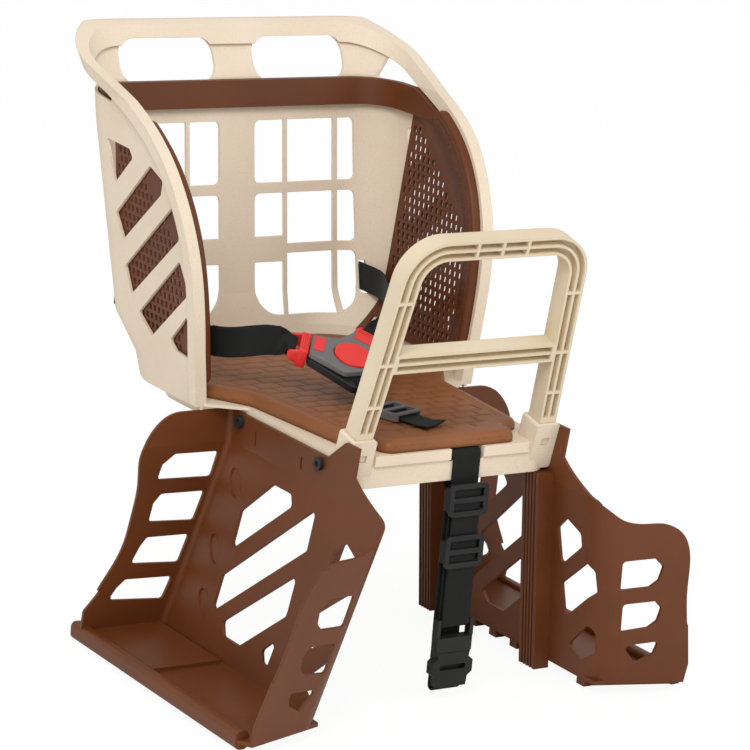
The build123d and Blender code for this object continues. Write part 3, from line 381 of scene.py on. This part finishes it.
def pad_surface(x, y):
    """Height of the pad at a point, and how much painted shade its groove gets there."""
    inside = np.sqrt(((rim - (x, y)) ** 2).sum(1).min())
    top = pad_top - crown * math.exp(-inside / crown_reach)
    if inside < roll_radius:
        top -= roll_drop * (1 - math.sqrt(max(1 - (1 - inside / roll_radius) ** 2, 0)))
    if y > pad_front + welt_start:
        for line in welts:
            top -= welt_depth * math.exp(-((inside - line) / welt_width) ** 2)
    row = math.floor((y - pad_front) / brick_y)
    b = 2 * ((y - pad_front) / brick_y - row) - 1
    a = (x / brick_x + 0.5 * (row % 2)) % 1 * 2 - 1
    pillow = (1 - a**8) * (1 - b**6)
    groove = (1 - pillow) * smooth(groove_edge, groove_full, inside)
    uneven = unevenness * noise.noise(Vector((x, y, 0)) / uneven_length)
    # The second value is painted shade that darkens the grooves
    return top - groove_depth * groove + uneven, groove_shade * groove


def seat_pad():
    middle = np.arange(pad_front + first_row, pad_rear - last_row, row_step)
    rows = np.concatenate([pad_front + edge_steps, middle, pad_rear - edge_steps[::-1]])
    across = np.linspace(-1, 1, pad_columns)[1:-1]
    verts, faces, grid, painted_groove_shades = [], [], [], []
    for y in rows:
        half = pad_half(y)
        inset = edge_steps * min(1, half / full_edge_half)
        line = []
        for x in np.concatenate([-half + inset, across * (half - inset[-1]), half - inset[::-1]]):
            height, painted_groove_shade = pad_surface(x, y)
            line.append(len(verts))
            verts.append((x * MM, y * MM, height * MM))
            painted_groove_shades.append(painted_groove_shade)
        grid.append(line)
    for low, high in zip(grid, grid[1:]):
        for i in range(len(low) - 1):
            faces.append((low[i], low[i + 1], high[i + 1], high[i]))
    foot = []
    for line in grid:
        pair = []
        for i in (line[0], line[-1]):
            pair.append(len(verts))
            verts.append((verts[i][0], verts[i][1], pad_bottom * MM))
            painted_groove_shades.append(0.0)
        foot.append(pair)
    for (low, high), (a, b) in zip(zip(grid, grid[1:]), zip(foot, foot[1:])):
        faces.append((a[0], low[0], high[0], b[0]))
        faces.append((low[-1], a[1], b[1], high[-1]))
        faces.append((a[1], a[0], b[0], b[1]))
    faces.append((*grid[0][::-1], foot[0][0], foot[0][1]))
    faces.append((*grid[-1], foot[-1][1], foot[-1][0]))
    obj = add_piece("seat_pad_form", mesh_of("seat_pad_form", verts, faces), pad_mat, "seat_pad")
    # The painted groove shade is kept on the mesh as a point attribute for the material
    obj.data.attributes.new("painted_groove_shade", "FLOAT", "POINT").data.foreach_set("value", painted_groove_shades)
    return obj


seat_pad()

# Webbing
web_w, web_t = 28.0, 1.5
rib_count, rib_depth, bound_edge = 12, 0.10, 0.45


def strip(line, across, width, thick, shift=None):
    """Vertices, faces and weave places of one webbing strip: ribbed faces, thin bound edges, closed ends."""
    line = np.array(line, float)
    tangent = unit(np.gradient(line, axis=0))
    across = np.array(across, float) * np.ones((len(line), 1))
    across = unit(across - (across * tangent).sum(1)[:, None] * tangent)
    normal = np.cross(tangent, across)
    width = np.array(width, float) * np.ones(len(line))
    length = distance_along(line)
    share = np.linspace(-1, 1, 29)
    ribs = 1 - rib_depth * (1 + np.cos(share * math.pi * rib_count)) / 2
    half = thick / 2 * np.where(np.abs(share) > 0.99, bound_edge, 1.0) * ribs
    ring = np.concatenate([share, share[::-1]])
    ring_up = np.concatenate([half, -half[::-1]])
    verts, weave, faces = [], [], []
    for i in range(len(line)):
        lift = 0 if shift is None else shift(length[i], length[-1], ring)
        points = line[i] + np.outer(ring * width[i] / 2, across[i]) + np.outer(ring_up + lift, normal[i])
        verts += [tuple(v * MM) for v in points]
        weave += [(a * width[i] / 2 * MM, length[i] * MM, 0.0) for a in ring]
    n = len(ring)
    for i in range(len(line) - 1):
        for k in range(n):
            a, b = i * n + k, i * n + (k + 1) % n
            faces.append((a, b, b + n, a + n))
    faces.append(tuple(range(n))[::-1])
    faces.append(tuple((len(line) - 1) * n + k for k in range(n)))
    return verts, faces, weave


def strap(name, strips, cad_node):
    """One piece of webbing from its strips, with the weave's places kept on the mesh."""
    verts, faces, weave = [], [], []
    for v, f, w in strips:
        faces += [tuple(i + len(verts) for i in face) for face in f]
        verts += v
        weave += w
    obj = add_piece(name, mesh_of(name, verts, faces), web, cad_node)
    places = obj.data.attributes.new("weave", "FLOAT_VECTOR", "POINT")
    places.data.foreach_set("vector", np.array(weave).ravel())


def out_of_slot(line, start, end, slot_w, twist, widen):
    """Cross directions and widths of a strap that leaves a slot: it twists from start to end and widens."""
    done = distance_along(line)
    turn = smooth(*twist, done)[:, None]
    return (1 - turn) * start + turn * end, slot_w + (web_w - slot_w) * smooth(*widen, done)


# The buckle's own directions: it slopes by 22 degrees, and its arms turn by about 35 degrees in its plane
buckle = np.array((-26.0, -10.0, 78.0))
buckle_up = np.array((0, -0.3746066, 0.9271839))
buckle_back = np.array((0, 0.9271839, 0.3746066))
arm_left = np.array((0.8191520, 0.5318186, 0.2148688))


def arm_of(side):
    """Directions along and across the arm on one side, 1 for the left and -1 for the right."""
    arm = arm_left * (side, 1, 1)
    return arm, np.cross(buckle_up, arm)


# Lap straps: wrapped over the bar of the tongue with a doubled tail, then upright to the slot in the shell
lap_z, lap_start_drop, lap_start = 92.0, 1.3, 40.0
sag_at, sag_spread = 80.0, 42.0
lap_slot_w, lap_twist, lap_widen = 25.5, (6, 24), (8, 26)
over_tongue = ((52.2, -3.0), (52.5, -0.2), (54.0, 0.8), (56.6, 0.9), (60.5, 0.9))
under_tongue = ((52.2, -3.0), (52.5, -5.8), (54.0, -6.8), (56.6, -6.4), (60.5, -4.4))
fine_step = 0.8
tail_count, tail_gap, tail_slack = 40, 2.3, 3.4
wave, wave_length, wave_fade = 0.5, 70.0, 25.0


def lap_strap(name, side, points, sag, cad_node):
    """One lap strap: its run and its tail start round the bar of the tongue and twist upright."""
    arm, wide = arm_of(side)
    upright = np.array((0, 0, side))

    def by_tongue(places):
        return [buckle + along * arm + up * buckle_up for along, up in places]

    def ripple(at, total, share):
        """A slow wave that dies out at both ends, with the edges a little out of step."""
        fade = smooth(0, wave_fade, at) * smooth(0, wave_fade, total - at)
        edges = 0.5 * share * math.sin(at * 3.1 / wave_length * 2 + 1)
        return wave * fade * (math.sin(at * 2 * math.pi / wave_length + side) + edges)

    run = curve_through([(*p, lap_z) for p in points], arm, (0, 1, 0))
    length = distance_along(run)
    run[:, 2] -= lap_start_drop * (1 - smooth(0, lap_start, length))
    run[:, 2] -= sag * np.exp(-((length - sag_at) / sag_spread) ** 2)
    joined = 9
    lead = curve_through([*by_tongue(over_tongue), *run[joined - 4:joined]], buckle_up,
                         run[joined] - run[joined - 1], fine_step)
    main = np.concatenate([lead, run[joined:]])
    across, width = out_of_slot(main, wide, upright, lap_slot_w, lap_twist, lap_widen)
    away = unit(np.cross(unit(np.gradient(main, axis=0)), across))
    follow = []
    for k in range(tail_count):
        i = len(lead) + k
        follow.append(main[i] - away[i] * (tail_gap + tail_slack * math.sin(math.pi * k / tail_count)))
    tail = curve_through([*by_tongue(under_tongue), *follow[3::3]], -buckle_up,
                         follow[-1] - follow[-2], fine_step)
    tail_across, tail_width = out_of_slot(tail, wide, upright, lap_slot_w, lap_twist, lap_widen)
    strips = [strip(main, across, width, web_t, ripple), strip(tail, tail_across, tail_width, web_t)]
    strap(name, strips, cad_node)


lap_strap("lap_webbing_left", 1, [(22.3, 21.4), (62, 62), (118, 150), (140, 208), (140, 238)], 3.0,
          "lap_strap_left")
lap_strap("lap_webbing_right", -1,
          [(-74.3, 21.4), (-108, 38), (-128, 72), (-136, 130), (-140, 190), (-140, 238)], 9.0,
          "lap_strap_right")

# Tongues, from blocks: (from, to) along the arm and across it, then (foot, top) at the near and the far end
tongue_grip = ((39.7, 48.8), (-16.5, 16.5), (-13.5, 5.6), (-13.5, 5.6))
tongue_bar = ((53.5, 57.5), (-14, 14), (-5.5, -0.5), (-5.5, -0.5))
tongue_cheeks = [((47.5, 58.3), across, (-11.5, 4.6), (-7.2, 1.4))
                 for across in ((13.4, 16.5), (-16.5, -13.4))]
tongue_ribs = [((start, start + 1.6), (-13, 13), (5.0, 6.6), (5.0, 6.6)) for start in (41.6, 44.9)]
window_panel = ((26.2, 36.4), (-11.5, 11.5), (7.0, 7.9), (7.0, 7.9))
tongue_round, tongue_thin = 1.3, 1.7


def tongue(name, side, cad_node):
    """A grip with ribs, two cheeks, the bar that the strap wraps, and the panel over the cover's window."""
    arm, wide = arm_of(side)
    bm = bmesh.new()
    blocks = (tongue_grip, tongue_bar, *tongue_cheeks, *tongue_ribs, window_panel)
    for (a0, a1), (b0, b1), near, far in blocks:
        v = []
        for at_near, at_far in zip(near, far):
            for a, b, up in ((a0, b0, at_near), (a1, b0, at_far), (a1, b1, at_far), (a0, b1, at_near)):
                v.append(bm.verts.new((buckle + a * arm + b * wide + up * buckle_up) * MM))
        for quad in ((3, 2, 1, 0), (4, 5, 6, 7), (0, 1, 5, 4), (1, 2, 6, 5), (2, 3, 7, 6), (3, 0, 4, 7)):
            bm.faces.new([v[i] for i in quad])
    bmesh.ops.recalc_face_normals(bm, faces=bm.faces)
    thick = [e for e in bm.edges
             if min(x.calc_length() for f in e.link_faces for x in f.edges) >= tongue_thin * MM]
    bmesh.ops.bevel(bm, geom=thick, offset=tongue_round * MM, segments=3, profile=0.5, affect="EDGES")
    mesh = bpy.data.meshes.new(name)
    bm.to_mesh(mesh)
    bm.free()
    add_piece(name, mesh, red, cad_node, sharp=40)


tongue("tongue_form_left", 1, "tongue_left")
tongue("tongue_form_right", -1, "tongue_right")

# Rolled front lip of the liner, inside each wing's rim
wing_points = ((46, 26), (57, 184), (100, 251), (188, 300), (262, 327), (300, 345))
wing_z, wing_half = (24, 46, 80, 262, 292, 346), (147, 149, 153, 171, 173, 192)
lip_low, lip_high = 45.0, 284.0
lip_in, lip_along, lip_inset, lip_gap = 6.2, 4.4, 8.2, 0.5
lip_squareness, lip_taper = 0.72, 4


def squared(value):
    return math.copysign(abs(value) ** lip_squareness, value)


def lip(name, side):
    edge = curve_through([(0, *p) for p in wing_points], (0, 0, 1), (0, 0.88, 0.47), 2.0)
    inward = np.cross((1, 0, 0), unit(np.gradient(edge, axis=0)))
    inward *= np.sign(inward[:, 1:2])
    line = [(e + n * lip_inset, n) for e, n in zip(edge, inward) if lip_low <= e[2] <= lip_high]
    verts, faces = [], []
    turns = np.linspace(0, 2 * math.pi, 22, endpoint=False)
    for k, (centre, n) in enumerate(line):
        size = math.sqrt(min(1.0, (k + 0.4) / lip_taper, (len(line) - k - 0.6) / lip_taper))
        x = np.interp(centre[2], wing_z, wing_half) - lip_gap - lip_in
        for t in turns:
            v = centre + squared(math.sin(t)) * lip_along * size * n
            verts.append((side * (x - squared(math.cos(t)) * lip_in * size) * MM, v[1] * MM, v[2] * MM))
    m = len(turns)
    for k in range(len(line) - 1):
        for t in range(m):
            a, b = k * m + t, k * m + (t + 1) % m
            faces.append((a, b, b + m, a + m) if side > 0 else (b, a, a + m, b + m))
    faces.append(tuple(range(m))[::-side])
    faces.append(tuple((len(line) - 1) * m + t for t in range(m))[::side])
    add_piece(name, mesh_of(name, verts, faces), liner_brown)


lip("liner_lip_left", 1)
lip("liner_lip_right", -1)

# Crotch strap: looped over the bar of the buckle, then over the pad, with its free end
crotch_at = np.array((-26.0, -44.1, 42.3))
crotch_dir = np.array((0.2756374, -0.9612617, 0.0))
crotch_across = np.cross((0, 0, 1), crotch_dir)
crotch_slot_w, crotch_twist, crotch_widen = 25.0, (8, 30), (14, 30)
end_curl, curl_length = 2.6, 18.0


def by_bar(*places):
    return [buckle + along * buckle_back + up * buckle_up for along, up in places]


def over_pad(*places):
    return [crotch_at + along * crotch_dir + np.array((0, 0, up)) for along, up in places]


def crotch_strip(line, shift=None):
    across, width = out_of_slot(line, np.array((1.0, 0, 0)), crotch_across, crotch_slot_w,
                                crotch_twist, crotch_widen)
    return strip(line, across, width, web_t, shift)


def curl(at, total, share):
    return end_curl * smooth(curl_length, 0, total - at) * np.clip(share, 0, 1) ** 2


over_bar = by_bar((-33.0, -4.0), (-33.3, -0.3), (-34.6, 0.95), (-38.6, 0.95), (-41.0, -0.8), (-41.7, -4.5))
under_bar = by_bar((-33.0, -4.0), (-33.3, -7.7), (-34.8, -9.0), (-38.0, -9.6), (-41.0, -11.4))
crotch_run = curve_through([*over_bar, *over_pad((6, 8.9), (13, 5.2), (34, 3.6), (68, 1.9), (84, 3.0))],
                           buckle_up, crotch_dir + np.array((0, 0, 0.12)), fine_step)
crotch_return = curve_through([*under_bar, *over_pad((5.6, 5.6), (12.5, 2.9))],
                              -buckle_up, crotch_dir - np.array((0, 0, 0.2)), fine_step)
strap("crotch_webbing", [crotch_strip(crotch_run, curl), crotch_strip(crotch_return)], "crotch_strap")

# Front belt: over the apron, down to the clip, back up through the two sliders, and the return behind it
belt_x, belt_w = 16.0, 30.0
sway_size, sway_fade, sway_length = 0.18, 30.0, 11.0


def flat_run(*legs):
    """Points in the belt's plane, from straight legs (y0, z0, y1, z1) and arcs (y, z, radius, from, to)."""
    out = []
    for leg in legs:
        if len(leg) == 4:
            start, end = np.array(leg[:2]), np.array(leg[2:])
            steps = max(3, int(math.dist(start, end) / 2))
            out += [(belt_x, *(start + t * (end - start))) for t in np.linspace(0, 1, steps)]
        else:
            y, z, radius, first, last = leg
            out += [(belt_x, y + radius * math.cos(t), z + radius * math.sin(t))
                    for t in np.radians(np.linspace(first, last, 14))]
    keep = [out[0]]
    for p in out[1:]:
        if math.dist(p, keep[-1]) > 0.05:
            keep.append(p)
    return keep


def sway(at, total, share):
    fade = smooth(0, sway_fade, at) * smooth(0, sway_fade, total - at)
    return sway_size * fade * math.sin(at / sway_length)


belt = flat_run((-122, 28.1, -147, 28.1), (-147, 23.7, 4.4, 90, 180), (-151.4, 23.7, -151.4, -136),
                (-154.6, -136, 3.2, 0, -180), (-157.8, -136, -157.8, -6))
strap("front_belt_webbing", [strip(belt, (1, 0, 0), belt_w, web_t, sway)], "front_belt")
back = flat_run((-152.2, -185, -152.2, -198), (-148.1, -198, 4.1, 180, 360), (-144, -198, -144, -14),
                (-134, -14, 10, 180, 90), (-134, -4, -90, -4))
strap("belt_return_webbing", [strip(back, (1, 0, 0), belt_w, web_t, sway)], "front_belt_return")

# Floor, in metres: white to the camera, with a faint shadow
floor_size, floor_drop = 14, 0.6 * MM
floor_glow, glow_share = 1.03, 0.9
bpy.ops.mesh.primitive_plane_add(size=floor_size, location=(0, 0, cad_lo.z - floor_drop))
floor = bpy.context.object
floor.name = "floor"
mat, tree, bsdf = new_material("floor_white")
bsdf.inputs["Base Color"].default_value = (0.92, 0.92, 0.92, 1)
bsdf.inputs["Roughness"].default_value = 0.9
bsdf.inputs["Specular IOR Level"].default_value = 0.1
glow = node(tree, "ShaderNodeEmission", Strength=floor_glow)
seen = tree.nodes.new("ShaderNodeLightPath").outputs["Is Camera Ray"]
join = tree.nodes.new("ShaderNodeMixShader")
tree.links.new(math_node(tree, "MULTIPLY", seen, glow_share), join.inputs["Fac"])
tree.links.new(bsdf.outputs["BSDF"], join.inputs[1])
tree.links.new(glow.outputs["Emission"], join.inputs[2])
tree.links.new(join.outputs["Shader"], tree.nodes["Material Output"].inputs["Surface"])
floor.data.materials.append(mat)

# World: white to the camera, dimmer as a light
sky_light = 0.66
world = bpy.data.worlds.new("studio")
scene.world = world
world.use_nodes = True
sky = world.node_tree
sky.nodes["Background"].inputs["Color"].default_value = (1, 1, 1, 1)
seen = sky.nodes.new("ShaderNodeLightPath").outputs["Is Camera Ray"]
level = math_node(sky, "MULTIPLY_ADD", seen, 1.0 - sky_light)
level.node.inputs[2].default_value = sky_light
sky.links.new(level, sky.nodes["Background"].inputs["Strength"])


# Lights, with places and sizes in metres
def area(name, place, size, power):
    aim = Vector((0, 0, 0.05))
    data = bpy.data.lights.new(name, "AREA")
    data.size = size
    data.energy = power
    lamp = bpy.data.objects.new(name, data)
    lamp.location = place
    lamp.rotation_mode = "QUATERNION"
    lamp.rotation_quaternion = (aim - Vector(place)).to_track_quat("-Z", "Y")
    scene.collection.objects.link(lamp)


area("key", (-1.5, -1.7, 2.2), 1.3, 44)
area("fill", (1.8, -1.6, 1.2), 1.8, 11)

# Camera at the photograph's place, in metres, from the camera that was solved on mirrored points
camera_at = Vector((-1.687248, -2.513501, 0.844893))
camera_right = Vector((0.837650, -0.539923, 0.082621))
camera_up = Vector((0.069241, 0.255007, 0.964457))
camera_back = Vector((-0.541802, -0.802156, 0.250991))
camera_data = bpy.data.cameras.new("camera")
camera_data.lens = 160.198
camera_data.sensor_width = 36
camera = bpy.data.objects.new("camera", camera_data)
turn = Matrix((camera_right, camera_up, camera_back)).transposed()
camera.matrix_world = Matrix.Translation(camera_at) @ turn.to_4x4()
scene.collection.objects.link(camera)
scene.camera = camera
scene.view_settings.view_transform = "Standard"
